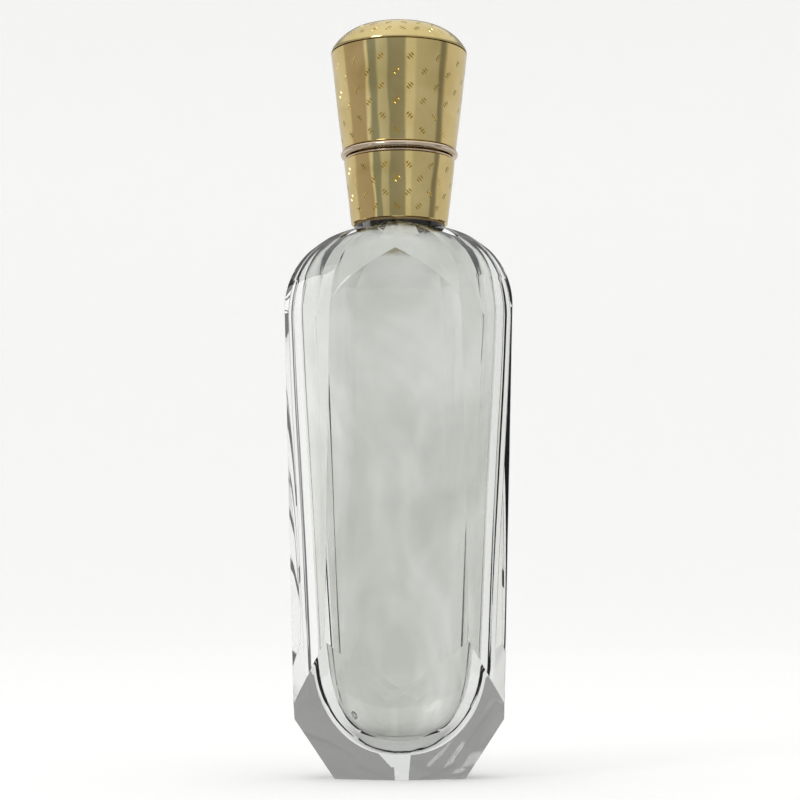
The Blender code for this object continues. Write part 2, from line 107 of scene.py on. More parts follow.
# Stopper and cement, close to the CAD's: the head's crown is taller than the CAD's bevel, and the cement
# reaches CEMENT_BOND into the glass
STOPPER_SEAT_Z = LIP_Z + 0.3 * MM
HEAD_R, HEAD_HEIGHT, HEAD_TABLE_R, HEAD_CROWN = 4.465 * MM, 4.6 * MM, 3.1 * MM, 1.5 * MM
HEAD_FOOT_R, HEAD_FOOT_LEAN = 3.5 * MM, -math.radians(50)
PLUG_GAP, PLUG_TIP_Z, PLUG_TIP_ROUND = 0.06 * MM, 82.2 * MM, 0.4 * MM
CEMENT_TOP_Z, CEMENT_BOND, CEMENT_CLEAR = 85.2 * MM, 0.05 * MM, 0.05 * MM

# Gold mount, as the CAD has it
COLLAR_LOW_Z, COLLAR_TOP_Z = 79.4 * MM, 88.75 * MM
COLLAR_LOW_R, COLLAR_TOP_R = 7.0 * MM, 8.1 * MM
LID_LOW_Z, LID_LOW_R = 90.3 * MM, 8.3 * MM
LID_TOP_Z, LID_TOP_R = 104.8 * MM, 10.0 * MM
SHEET, SEAM = 0.4 * MM, 0.1 * MM
DOME_EDGE_R, DOME_EDGE_ANGLE = 1.0 * MM, math.radians(60)
DOME_SHOULDER_R, DOME_CROWN_ANGLE = 7.0 * MM, math.radians(10)
WIRE_R, WIRE_Z, WIRE_BULGE = 8.12 * MM, 89.75 * MM, 0.45 * MM
RING_BORE_R, RING_HEIGHT, RING_LIP = 7.1 * MM, 0.3 * MM, 0.12 * MM
BEZEL_R, BEZEL_SHEET, BEZEL_SOFT = 7.0 * MM, 0.3 * MM, 0.12 * MM
BEZEL_LOW_Z, BEZEL_TOP_Z = 85.5 * MM, 90.9 * MM
LINER_R, LINER_SHEET, LINER_LOW_Z, LINER_RISE = 7.55 * MM, 0.25 * MM, 89.55 * MM, 0.3 * MM

# Gold mount, where it differs from the CAD's: finer steps, the collar's rim RING_INSET further in, dents
TURN_STEPS = 168
RING_INSET = 0.3 * MM
# Dents in the hand-worked sheet: their depth, then what makes them up, as (how quickly they change round
# the mount, over what height, share of the depth)
DENT_DEPTH = 0.075 * MM
DENT_WAVES = ((2.1, 10 * MM, 1.0), (5.5, 4 * MM, 0.3))
WIRE_DENT_SHARE = 0.25

# Bright-cut engraving: lozenges of three slanting wedge cuts, in staggered columns round the mount.
# One lozenge in every CUT_TURNED slants the other way.
CUT_COLUMNS, CUT_TURNED = 28, 3
CUT_WIDTH, CUT_DEPTH, CUT_SPACING = 0.31 * MM, 0.19 * MM, 0.39 * MM
CUT_LENGTHS = (0.78 * MM, 1.12 * MM, 0.78 * MM)
# On a wall: the first lozenge's height over the lower edge and the rise to the next, for the collar and
# for the lid, and the room kept free under the top edge
COLLAR_CUTS, LID_CUTS, CUT_MARGIN = (1.5 * MM, 3.9 * MM), (1.3 * MM, 4.2 * MM), 0.75 * MM
# On the dome, as (degrees from the crown, lozenges in the ring, turn as a share of their spacing)
DOME_RINGS = ((50, 28, 0.5), (36, 22, 0.0), (22, 16, 0.5), (7.5, 9, 0.0), (3.2, 4, 0.5))

# Hinge, as the CAD has it but for the bearers' rounded edges
HINGE_Y, HINGE_Z = 9.5 * MM, 89.2 * MM
KNUCKLE_R, KNUCKLE_BORE_R = 0.8 * MM, 0.42 * MM
KNUCKLE_LENGTH, KNUCKLE_GAP = 1.56 * MM, 0.1 * MM
KNUCKLES = (
    ("collar_knuckle_left", "bottle"),
    ("lid_knuckle_left", "lid"),
    ("collar_knuckle_middle", "bottle"),
    ("lid_knuckle_right", "lid"),
    ("collar_knuckle_right", "bottle"),
)
PIN_R, PIN_OVERHANG = 0.35 * MM, 0.12 * MM
BEARER_HEIGHT, BEARER_OFF_AXIS = 1.5 * MM, 0.25 * MM
BEARER_BACK, BEARER_FRONT = 0.2 * MM, 2.2 * MM
BEARER_ROUND, BEARER_CLEAR, BEARER_BEAD_R = 0.15 * MM, 0.05 * MM, 8.62 * MM


# Meshes ------------------------------------------------------------------------------------------


def add_mesh(name, shape):
    mesh = bpy.data.meshes.new(name)
    shape.to_mesh(mesh)
    shape.free()
    obj = bpy.data.objects.new(name, mesh)
    bpy.context.scene.collection.objects.link(obj)
    return obj


def boolean(obj, operation, other):
    modifier = obj.modifiers.new(operation, "BOOLEAN")
    modifier.operation = operation
    modifier.object = other
    modifier.solver = "EXACT"
    bpy.context.view_layer.update()
    graph = bpy.context.evaluated_depsgraph_get()
    mesh = bpy.data.meshes.new_from_object(obj.evaluated_get(graph))
    obj.modifiers.clear()
    obj.data = mesh
    bpy.data.objects.remove(other, do_unlink=True)


def smooth(obj, sharp_degrees):
    obj.data.shade_smooth()
    obj.data.set_sharp_from_angle(angle=math.radians(sharp_degrees))


def dress(obj, body, slot, materials, *nodes):
    """Gives a piece its materials and its body, and hides the CAD nodes that it stands for. The slot is
    not used.
    """
    obj.data.materials.clear()
    for material in materials:
        obj.data.materials.append(material)
    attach(obj, body)
    if nodes:
        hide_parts(*nodes)


def lathe(name, profile, closed=True, offset=None, segments=TURN_STEPS):
    """A turned solid. The profile is (radius, z) points down its outer side; a closed one is a ring,
    and an open one starts and ends on the axis. The offset moves a point out, by angle and height."""
    shape = bmesh.new()
    rings = []
    for r, z in profile:
        if r < 1e-7:
            rings.append([shape.verts.new((0, 0, z))])
            continue
        ring = []
        for step in range(segments):
            angle = 2 * math.pi * step / segments
            reach = r + (offset(angle, z) if offset else 0.0)
            ring.append(shape.verts.new((reach * math.cos(angle), reach * math.sin(angle), z)))
        rings.append(ring)
    pairs = list(zip(rings, rings[1:]))
    if closed:
        pairs.append((rings[-1], rings[0]))
    for upper, lower in pairs:
        for i in range(segments):
            j = (i + 1) % segments
            corners = [lower[i % len(lower)], lower[j % len(lower)]] if len(lower) > 1 else [lower[0]]
            corners += [upper[j], upper[i]] if len(upper) > 1 else [upper[0]]
            shape.faces.new(corners)
    bmesh.ops.recalc_face_normals(shape, faces=shape.faces)
    return add_mesh(name, shape)


def arc_points(centre, radius, start, end, steps):
    """Points of a (radius, z) profile on an arc; an angle is the normal's, from straight up."""
    return [
        (
            centre[0] + radius * math.sin(start + (end - start) * step / steps),
            centre[1] + radius * math.cos(start + (end - start) * step / steps),
        )
        for step in range(steps + 1)
    ]


# Glass -------------------------------------------------------------------------------------------


def direction(azimuth_degrees, lean=0.0):
    """Outward, at this azimuth from the front, leaning up by this many radians."""
    a = math.radians(azimuth_degrees)
    flat = Vector((math.sin(a), -math.cos(a), 0.0))
    return flat * math.cos(lean) + Vector((0, 0, 1)) * math.sin(lean)


def grind(shape, azimuth, reach, z, lean):
    """Grinds one flat facet: the plane through (reach, z) at this azimuth, leaning by this angle."""
    cut = bmesh.ops.bisect_plane(
        shape,
        geom=shape.verts[:] + shape.edges[:] + shape.faces[:],
        plane_co=direction(azimuth) * reach + Vector((0, 0, z)),
        plane_no=direction(azimuth, lean),
        clear_outer=True,
        dist=1e-7,
    )
    rim = [g for g in cut["geom_cut"] if isinstance(g, bmesh.types.BMEdge)]
    if rim:
        bmesh.ops.edgeloop_fill(shape, edges=rim)


def grind_panel(shape, azimuth, line, arc=None):
    """A straight wall, then its shoulder as many narrow facets along an arc."""
    start, taper = line
    grind(shape, azimuth, start, 0.0, -math.atan(taper))
    if not arc:
        return
    arc_z, radius = arc
    centre = start + taper * arc_z - radius
    last = math.asin(min(1.0, (BODY_TOP_Z - arc_z) / radius))
    for step in range(ARC_STEPS + 1):
        lean = last * step / ARC_STEPS
        reach, z = centre + radius * math.cos(lean), arc_z + radius * math.sin(lean)
        grind(shape, azimuth, reach, z, lean)


def round_edges(shape, over_degrees, width):
    edges = [e for e in shape.edges if len(e.link_faces) == 2]
    crisp = [e for e in edges if e.calc_face_angle() > math.radians(over_degrees)]
    bmesh.ops.bevel(
        shape, geom=crisp, offset=width, segments=2, profile=0.5, affect="EDGES", clamp_overlap=True
    )


def ground_block():
    shape = bmesh.new()
    bmesh.ops.create_cube(shape, size=1.0)
    bmesh.ops.scale(shape, verts=shape.verts, vec=(40 * MM, 30 * MM, BODY_TOP_Z))
    bmesh.ops.translate(shape, verts=shape.verts, vec=(0, 0, BODY_TOP_Z / 2))
    for azimuth in (0, 180):
        grind_panel(shape, azimuth, FRONT_LINE)
        for side in (-1, 1):
            grind_panel(shape, azimuth + side * FOOT_FACET_AZIMUTH, FOOT_FACET_LINE)
            grind_panel(shape, azimuth + side * TOP_FACET_AZIMUTH, TOP_FACET_LINE, TOP_FACET_ARC)
            grind_panel(shape, azimuth + side * CORNER_AZIMUTH, CORNER_LINE, CORNER_ARC)
    for azimuth in (90, -90):
        grind_panel(shape, azimuth, SIDE_LINE, SIDE_ARC)
        grind_panel(shape, azimuth, FOOT_CUT_LINE)
    bmesh.ops.remove_doubles(shape, verts=shape.verts, dist=1e-6)
    bmesh.ops.dissolve_degenerate(shape, edges=shape.edges, dist=1e-6)
    round_edges(shape, 8, EDGE_POLISH)
    return shape


def oval(shape, half_width, half_depth, z, squareness, ripple):
    verts = []
    for step in range(CAVITY_SEGMENTS):
        angle = 2 * math.pi * step / CAVITY_SEGMENTS
        c, s = math.cos(angle), math.sin(angle)
        reach = (
            abs(c / half_width) ** squareness + abs(s / half_depth) ** squareness
        ) ** (-1 / squareness)
        reach += ripple * noise.noise(Vector((RIPPLE_TURN * c, RIPPLE_TURN * s, z / RIPPLE_RISE)))
        verts.append(shape.verts.new((reach * c, reach * s, z)))
    return verts


def loft(name, ovals, tip_z=None, ripple_at=lambda z: 0.0):
    """A closed solid through ovals of (half width, half depth, z, squareness), from the lowest up."""
    shape = bmesh.new()
    made = [oval(shape, *o, ripple_at(o[2])) for o in ovals]
    for low, high in zip(made, made[1:]):
        for i in range(CAVITY_SEGMENTS):
            j = (i + 1) % CAVITY_SEGMENTS
            shape.faces.new((low[i], low[j], high[j], high[i]))
    if tip_z is None:
        shape.faces.new(list(reversed(made[0])))
    else:
        tip = shape.verts.new((0, 0, tip_z))
        for i in range(CAVITY_SEGMENTS):
            shape.faces.new((made[0][(i + 1) % CAVITY_SEGMENTS], made[0][i], tip))
    shape.faces.new(made[-1])
    bmesh.ops.recalc_face_normals(shape, faces=shape.faces)
    return add_mesh(name, shape)


def cavity_half_sizes(z):
    half_width = CAVITY_SIDE_LINE[0] + CAVITY_SIDE_LINE[1] * z
    half_depth = CAVITY_FRONT_LINE[0] + CAVITY_FRONT_LINE[1] * z
    if z < CAVITY_FLOOR_Z + CAVITY_FLOOR_RISE:
        below = (CAVITY_FLOOR_Z + CAVITY_FLOOR_RISE - z) / CAVITY_FLOOR_RISE
        share = max(0.0, 1 - below**CAVITY_FLOOR_CURVE) ** (1 / CAVITY_FLOOR_CURVE)
        return half_width * share, half_depth * share
    if z > CAVITY_SHOULDER_Z:
        rise = min(1.0, (z - CAVITY_SHOULDER_Z) / (CAVITY_NECK_Z - CAVITY_SHOULDER_Z))
        share = math.sqrt(max(0.0, 1 - rise**2))
        return (
            BORE_LOW_R + (half_width - BORE_LOW_R) * share,
            BORE_LOW_R + (half_depth - BORE_LOW_R) * share,
        )
    return half_width, half_depth


def blown_ripple(z):
    """The blown wall is uneven, but it runs true before the bore, where the stopper fits closely."""
    share = (CAVITY_NECK_Z - z) / (CAVITY_NECK_Z - CAVITY_SHOULDER_Z)
    return CAVITY_RIPPLE * max(0.0, min(1.0, share))


def cavity():
    ovals = []
    floor_steps, wall_steps, shoulder_steps = 36, 40, 32
    for step in range(1, floor_steps):
        angle = step / floor_steps * math.pi / 2
        z = CAVITY_FLOOR_Z + CAVITY_FLOOR_RISE * (1 - math.cos(angle))
        ovals.append((*cavity_half_sizes(z), z, CAVITY_SQUARENESS))
    low = CAVITY_FLOOR_Z + CAVITY_FLOOR_RISE
    for step in range(wall_steps):
        z = low + (CAVITY_SHOULDER_Z - low) * step / wall_steps
        ovals.append((*cavity_half_sizes(z), z, CAVITY_SQUARENESS))
    for step in range(shoulder_steps + 1):
        share = step / shoulder_steps
        z = CAVITY_SHOULDER_Z + (CAVITY_NECK_Z - CAVITY_SHOULDER_Z) * math.sin(share * math.pi / 2)
        squareness = CAVITY_SQUARENESS + (2 - CAVITY_SQUARENESS) * share
        ovals.append((*cavity_half_sizes(z), z, squareness))
    ovals.append((BORE_LOW_R, BORE_LOW_R, BORE_LOW_Z, 2))
    above = 1 * MM
    top_r = BORE_TOP_R + (BORE_TOP_R - BORE_LOW_R) / (LIP_Z - BORE_LOW_Z) * above
    ovals.append((top_r, top_r, LIP_Z + above, 2))
    return loft("cavity", ovals, CAVITY_FLOOR_Z, blown_ripple)


def air_bubble():
    shape = bmesh.new()
    lean = Matrix.Rotation(math.radians(-25), 4, "Y")
    place = Matrix.Translation(BUBBLE_PLACE) @ lean @ Matrix.Diagonal((*BUBBLE_SIZE, 1))
    bmesh.ops.create_uvsphere(shape, u_segments=24, v_segments=16, radius=1.0, matrix=place)
    return add_mesh("air_bubble", shape)


def glass_body(crystal, inside, ground):
    body = add_mesh("cut_glass_body", ground_block())
    flare = [(r * FLARE_STRETCH * MM, r * MM, z * MM, 2) for r, z in reversed(FLARE)]
    boolean(body, "INTERSECT", loft("flare", flare))
    neck = [
        (0.0, LIP_Z),
        *arc_points((NECK_R - LIP_ROUND, LIP_Z - LIP_ROUND), LIP_ROUND, 0.0, math.pi / 2, 6),
        (NECK_R, SEAT_Z),
        (SEAT_R, SEAT_Z),
        (SEAT_R, BODY_TOP_Z - 2 * MM),
        (0.0, BODY_TOP_Z - 2 * MM),
    ]
    boolean(body, "UNION", lathe("neck", neck, closed=False))
    boolean(body, "DIFFERENCE", cavity())
    boolean(body, "DIFFERENCE", air_bubble())
    smooth(body, 12)
    dress(body, "bottle", "crystal", [crystal, inside, ground], "bottle_body")
    for face in body.data.polygons:
        x, y, z = face.center
        if z < CAVITY_FLOOR_Z or z > LIP_Z - 0.05 * MM:
            continue
        half_width, half_depth = cavity_half_sizes(min(z, CAVITY_NECK_Z))
        limit = INSIDE_LIMIT if z < CAVITY_NECK_Z - 2 * MM else BORE_LIMIT
        across, deep = x / (half_width + INSIDE_ALLOWANCE), y / (half_depth + INSIDE_ALLOWANCE)
        if across**2 + deep**2 < limit:
            face.material_index = 2 if z > BORE_LOW_Z else 1
    return body


def stopper_piece(crystal, ground):
    """A ground plug under a polished, eight-sided head with a bevelled crown and a flat table."""
    seat, top = STOPPER_SEAT_Z, STOPPER_SEAT_Z + HEAD_HEIGHT
    shape = bmesh.new()
    bmesh.ops.create_cube(shape, size=1.0)
    bmesh.ops.scale(shape, verts=shape.verts, vec=(12 * MM, 12 * MM, HEAD_HEIGHT))
    bmesh.ops.translate(shape, verts=shape.verts, vec=(0, 0, seat + HEAD_HEIGHT / 2))
    crown_lean = math.atan((HEAD_R - HEAD_TABLE_R) / HEAD_CROWN)
    for side in range(8):
        azimuth = 45 * side
        grind(shape, azimuth, HEAD_R, seat, 0.0)
        grind(shape, azimuth, HEAD_R, top - HEAD_CROWN, math.pi / 2 - crown_lean)
        grind(shape, azimuth, HEAD_FOOT_R, seat, HEAD_FOOT_LEAN)
    round_edges(shape, 8, 0.06 * MM)
    piece = add_mesh("cut_stopper", shape)
    top_r, tip_z, tip_round = BORE_TOP_R - PLUG_GAP, PLUG_TIP_Z, PLUG_TIP_ROUND
    low_r = top_r - (BORE_TOP_R - BORE_LOW_R) / (LIP_Z - BORE_LOW_Z) * (LIP_Z - tip_z)
    plug = [
        (0.0, seat + 0.5 * MM),
        (HEAD_FOOT_R - 0.2 * MM, seat + 0.5 * MM),
        (top_r, seat - 0.05 * MM),
        *[
            (top_r + (low_r - top_r) * step / 8, LIP_Z + (tip_z - LIP_Z) * step / 8)
            for step in range(8)
        ],
        *arc_points((low_r - tip_round, tip_z + tip_round), tip_round, math.pi / 2, math.pi, 6),
        (0.0, tip_z),
    ]
    boolean(piece, "UNION", lathe("plug", plug, closed=False, segments=96))
    smooth(piece, 12)
    dress(piece, "stopper", "crystal", [crystal, ground], "stopper")
    for face in piece.data.polygons:
        x, y, z = face.center
        if z < LIP_Z - 0.1 * MM and math.hypot(x, y) > low_r * 0.9:
            face.material_index = 1
    return piece


def setting_cement(plaster):
    """The cement bonds to the neck, so its inner wall is just inside the glass."""
    bond, clear = CEMENT_BOND, CEMENT_CLEAR
    top, low = CEMENT_TOP_Z, SEAT_Z - bond
    rows = 8
    outer = [
        (collar_r(z) - SHEET - clear, z)
        for z in (top + (COLLAR_LOW_Z + clear - top) * row / rows for row in range(rows + 1))
    ]
    profile = outer + [(SEAT_R + bond, low), (NECK_R - bond, low), (NECK_R - bond, top)]
    piece = lathe("setting_cement", profile)
    smooth(piece, 40)
    dress(piece, "bottle", "plaster", [plaster], "neck_cement")


# Gold --------------------------------------------------------------------------------------------


def collar_r(z):
    share = (z - COLLAR_LOW_Z) / (COLLAR_TOP_Z - COLLAR_LOW_Z)
    return COLLAR_LOW_R + (COLLAR_TOP_R - COLLAR_LOW_R) * share


def lid_r(z):
    share = (z - LID_LOW_Z) / (LID_TOP_Z - LID_LOW_Z)
    return LID_LOW_R + (LID_TOP_R - LID_LOW_R) * share


def dents(angle, z):
    """How far the hand-worked sheet stands off its true shape."""
    return DENT_DEPTH * sum(
        share * noise.noise(Vector((turn * math.cos(angle), turn * math.sin(angle), z / rise)))
        for turn, rise, share in DENT_WAVES
    )


def wedge_cuts(places):
    """The solids that a graver takes out: three inverted pyramids side by side in each lozenge."""
    shape = bmesh.new()
    above = 0.04 * MM
    spread = 1 + above / CUT_DEPTH
    for index, (point, outward, up) in enumerate(places):
        across = up.cross(outward).normalized()
        slant = -1 if index % CUT_TURNED else 1
        along = (across + up * slant).normalized()
        side = outward.cross(along)
        for row, length in enumerate(CUT_LENGTHS):
            middle = point + side * ((row - 1) * CUT_SPACING)
            rim = [
                shape.verts.new(middle + offset * spread / 2 + outward * above)
                for offset in (along * length, side * CUT_WIDTH, -along * length, -side * CUT_WIDTH)
            ]
            bottom = shape.verts.new(middle - outward * CUT_DEPTH)
            shape.faces.new(rim)
            for a, b in zip(rim, rim[1:] + rim[:1]):
                shape.faces.new((b, a, bottom))
    bmesh.ops.recalc_face_normals(shape, faces=shape.faces)
    return add_mesh("graver", shape)


def engrave(piece, places):
    boolean(piece, "DIFFERENCE", wedge_cuts(places))
    smooth(piece, 14)


def wall_places(radius_at, low, top, first, pitch):
    """Staggered columns of lozenges on a cone between two heights."""
    places = []
    slope = math.atan((radius_at(top) - radius_at(low)) / (top - low))
    for column in range(CUT_COLUMNS):
        angle = 2 * math.pi * column / CUT_COLUMNS - math.pi / 2
        z = low + first + (pitch / 2 if column % 2 else 0.0)
        out = Vector((math.cos(angle), math.sin(angle), 0.0))
        outward = out * math.cos(slope) - Vector((0, 0, 1)) * math.sin(slope)
        up = out * math.sin(slope) + Vector((0, 0, 1)) * math.cos(slope)
        while z < top - CUT_MARGIN:
            reach = radius_at(z) + dents(angle, z)
            places.append((out * reach + Vector((0, 0, z)), outward, up))
            z += pitch
    return places


def sleeve(name, radius_at, low, top, rows):
    """A cone of sheet gold with softened edges."""
    soft = 0.08 * MM
    outer = [
        (radius_at(z), z)
        for z in (top - soft + (low - top + 2 * soft) * row / rows for row in range(rows + 1))
    ]
    profile = [(radius_at(top) - soft, top), *outer, (radius_at(low) - soft, low)]
    profile += [
        (radius_at(z) - SHEET, z) for z in (low, (2 * low + top) / 3, (low + 2 * top) / 3, top)
    ]
    return lathe(name, profile, offset=dents)


def collar(gold):
    piece = sleeve("engraved_collar", collar_r, COLLAR_LOW_Z, COLLAR_TOP_Z, 24)
    engrave(piece, wall_places(collar_r, COLLAR_LOW_Z, COLLAR_TOP_Z, *COLLAR_CUTS))
    dress(piece, "bottle", "gold", [gold], "collar_sleeve")


def lid_wall(gold):
    top = LID_TOP_Z - SEAM
    piece = sleeve("engraved_lid_wall", lid_r, LID_LOW_Z, top, 36)
    engrave(piece, wall_places(lid_r, LID_LOW_Z, top, *LID_CUTS))
    dress(piece, "lid", "gold", [gold], "lid_wall")


def dome_arcs():
    """The lid's top from its edge to its crown, as (centre, radius, first angle, last angle)."""
    r, z = LID_TOP_R, LID_TOP_Z
    arcs = []
    for radius, start, end in (
        (DOME_EDGE_R, math.pi / 2, DOME_EDGE_ANGLE),
        (DOME_SHOULDER_R, DOME_EDGE_ANGLE, DOME_CROWN_ANGLE),
        (None, DOME_CROWN_ANGLE, 0.0),
    ):
        radius = radius or r / math.sin(start)
        centre = (r - radius * math.sin(start), z - radius * math.cos(start))
        arcs.append((centre, radius, start, end))
        r, z = centre[0] + radius * math.sin(end), centre[1] + radius * math.cos(end)
    return arcs


def dome_profile(inset, steps):
    """From the crown outwards and down, this far inside the outer face."""
    points = []
    for centre, radius, start, end in dome_arcs():
        arc = arc_points(centre, radius - inset, start, end, steps)
        points += arc if not points else arc[1:]
    points[-1] = (0.0, points[-1][1])
    return points[::-1]


def dome_places():
    """Rings of lozenges over the dome, fewer towards its crown."""
    places = []
    for degrees, count, turn in DOME_RINGS:
        tilt = math.radians(degrees)
        for centre, radius, start, end in dome_arcs():
            if end <= tilt <= start:
                break
        for index in range(count):
            angle = 2 * math.pi * (index + turn) / count
            out = Vector((math.cos(angle), math.sin(angle), 0.0))
            outward = out * math.sin(tilt) + Vector((0, 0, 1)) * math.cos(tilt)
            up = Vector((0, 0, 1)) * math.sin(tilt) - out * math.cos(tilt)
            point = out * centre[0] + Vector((0, 0, centre[1])) + outward * radius
            places.append((point + out * dents(angle, point.z) * math.sin(tilt), outward, up))
    return places


def lid_dome(gold):
    profile = dome_profile(0.0, 12) + dome_profile(SHEET, 6)[::-1]
    piece = lathe("engraved_lid_dome", profile, closed=False, offset=dents)
    engrave(piece, dome_places())
    dress(piece, "lid", "gold", [gold], "lid_dome")


def rim_wire(rose):
    """The round wire along the lid's lower edge."""
    z, r, bulge = WIRE_Z, WIRE_R, WIRE_BULGE
    inner = r - bulge + SEAM
    profile = [(inner, z + bulge), *arc_points((r, z), bulge, 0.0, math.pi, 20), (inner, z - bulge)]
    piece = lathe("lid_bead", profile, offset=lambda angle, z: WIRE_DENT_SHARE * dents(angle, z))
    smooth(piece, 40)
    dress(piece, "lid", "rose_gold", [rose], "lid_rim_wire")


def top_ring(rose):
    """The thin rim that closes the collar."""
    low, height = COLLAR_TOP_Z + SEAM, RING_HEIGHT
    centre = (COLLAR_TOP_R - RING_INSET, low + height / 2)
    edge = [
        (centre[0] + RING_LIP * math.sin(angle), centre[1] + height / 2 * math.cos(angle))
        for angle in (math.pi * step / 12 for step in range(13))
    ]
    piece = lathe("collar_rim", edge + [(RING_BORE_R, low), (RING_BORE_R, low + height)])
    smooth(piece, 40)
    dress(piece, "bottle", "rose_gold", [rose], "collar_top_ring")


def bezel(gold):
    """The inner tube of the collar, with a softened lip that leads the lid on."""
    r, soft, low, top = BEZEL_R, BEZEL_SOFT, BEZEL_LOW_Z, BEZEL_TOP_Z
    inner = r - BEZEL_SHEET
    lip = arc_points((r - soft, top - soft), soft, 0.0, math.pi / 2, 6)
    profile = [*lip, (r, low), (inner, low), (inner, top - soft / 2), (inner + soft / 2, top)]
    piece = lathe("collar_bezel", profile)
    smooth(piece, 40)
    dress(piece, "bottle", "gold", [gold], "bezel_tube")


def liner(gold):
    """The smooth inner shell of the lid."""
    r, sheet, low = LINER_R, LINER_SHEET, LINER_LOW_Z
    straight_top = LID_LOW_Z + LINER_RISE
    inset = SHEET + SEAM
    soft = sheet / 2
    edge = [
        (r - soft + soft * math.cos(angle), low + soft - soft * math.sin(angle))
        for angle in (math.pi * step / 8 for step in range(9))
    ]
    profile = dome_profile(inset, 8) + [(r, straight_top), *edge, (r - sheet, straight_top)]
    profile += dome_profile(inset + sheet, 8)[::-1]
    piece = lathe("lid_inner_shell", profile, closed=False)
    smooth(piece, 30)
    dress(piece, "lid", "gold", [gold], "lid_liner")


def on_hinge(piece, centre_x):
    """Lays a turned piece along the hinge's axis."""
    place = Matrix.Translation((centre_x, HINGE_Y, HINGE_Z)) @ Matrix.Rotation(math.pi / 2, 4, "Y")
    piece.data.transform(place)
    smooth(piece, 40)


def hinge_length():
    return len(KNUCKLES) * KNUCKLE_LENGTH + (len(KNUCKLES) - 1) * KNUCKLE_GAP


def knuckles(rose):
    half, soft = KNUCKLE_LENGTH / 2, 0.1 * MM
    section = [
        (KNUCKLE_BORE_R, half),
        *arc_points((KNUCKLE_R - soft, half - soft), soft, 0.0, math.pi / 2, 4),
        *arc_points((KNUCKLE_R - soft, soft - half), soft, math.pi / 2, math.pi, 4),
        (KNUCKLE_BORE_R, -half),
    ]
    for index, (node, body) in enumerate(KNUCKLES):
        piece = lathe("tube_" + node, section, segments=48)
        on_hinge(piece, index * (KNUCKLE_LENGTH + KNUCKLE_GAP) + half - hinge_length() / 2)
        dress(piece, body, "rose_gold", [rose], node)
    end, dome = hinge_length() / 2, 0.6 * PIN_OVERHANG
    pin = [(0.0, end + PIN_OVERHANG), (PIN_R * 0.6, end + PIN_OVERHANG * 0.85), (PIN_R, end + dome)]
    pin += [(PIN_R, z) for z in (end / 2, 0.0, -end / 2)]
    pin += [(r, -z) for r, z in reversed(pin[:3])]
    piece = lathe("peened_pin", pin, closed=False, segments=48)
    on_hinge(piece, 0.0)
    dress(piece, "bottle", "rose_gold", [rose], "hinge_pin")


def bearer(name, node, body, low, wall, gold):
    """The block behind the knuckles, hollowed to the mount's wall and round the tubes."""
    shape = bmesh.new()
    size = Vector((hinge_length(), BEARER_FRONT - BEARER_BACK, BEARER_HEIGHT))
    middle = Vector((0, HINGE_Y - (BEARER_FRONT + BEARER_BACK) / 2, low + BEARER_HEIGHT / 2))
    place = Matrix.Translation(middle) @ Matrix.Diagonal((*size, 1))
    bmesh.ops.create_cube(shape, size=1.0, matrix=place)
    round_edges(shape, 30, BEARER_ROUND)
    piece = add_mesh(name, shape)
    mount = [(0.0, wall[0][1]), *wall, (0.0, wall[-1][1])]
    boolean(piece, "DIFFERENCE", lathe("wall", mount, closed=False))
    reach, r = hinge_length(), KNUCKLE_R + BEARER_CLEAR
    room = lathe("room", [(0.0, reach), (r, reach), (r, -reach), (0.0, -reach)], closed=False)
    on_hinge(room, 0.0)
    boolean(piece, "DIFFERENCE", room)
    smooth(piece, 30)
    dress(piece, body, "gold", [gold], node)


def hinge(gold, rose):
    knuckles(rose)
    sunk, beyond = 0.1 * MM, 0.5 * MM
    low = HINGE_Z - BEARER_OFF_AXIS - BEARER_HEIGHT
    wall = [(collar_r(z) - sunk, z) for z in (COLLAR_TOP_Z + beyond, low - beyond)]
    bearer("collar_bearer", "collar_hinge_bearer", "bottle", low, wall, gold)
    low = HINGE_Z + BEARER_OFF_AXIS
    step_z, top = LID_LOW_Z - SEAM, low + BEARER_HEIGHT + beyond
    wall = [
        (lid_r(top) - sunk, top),
        (lid_r(step_z) - sunk, step_z),
        (BEARER_BEAD_R, step_z),
        (BEARER_BEAD_R, low - beyond),
    ]
    bearer("lid_bearer", "lid_hinge_bearer", "lid", low, wall, gold)


# Materials ---------------------------------------------------------------------------------------


def fill_ramp(node, stops):
    """Stops are (position, colour or grey)."""
    elements = node.color_ramp.elements
    for index, (position, color) in enumerate(stops):
        element = elements[index] if index < 2 else elements.new(position)
        element.position = position
        element.color = (*color, 1) if isinstance(color, tuple) else (color, color, color, 1)


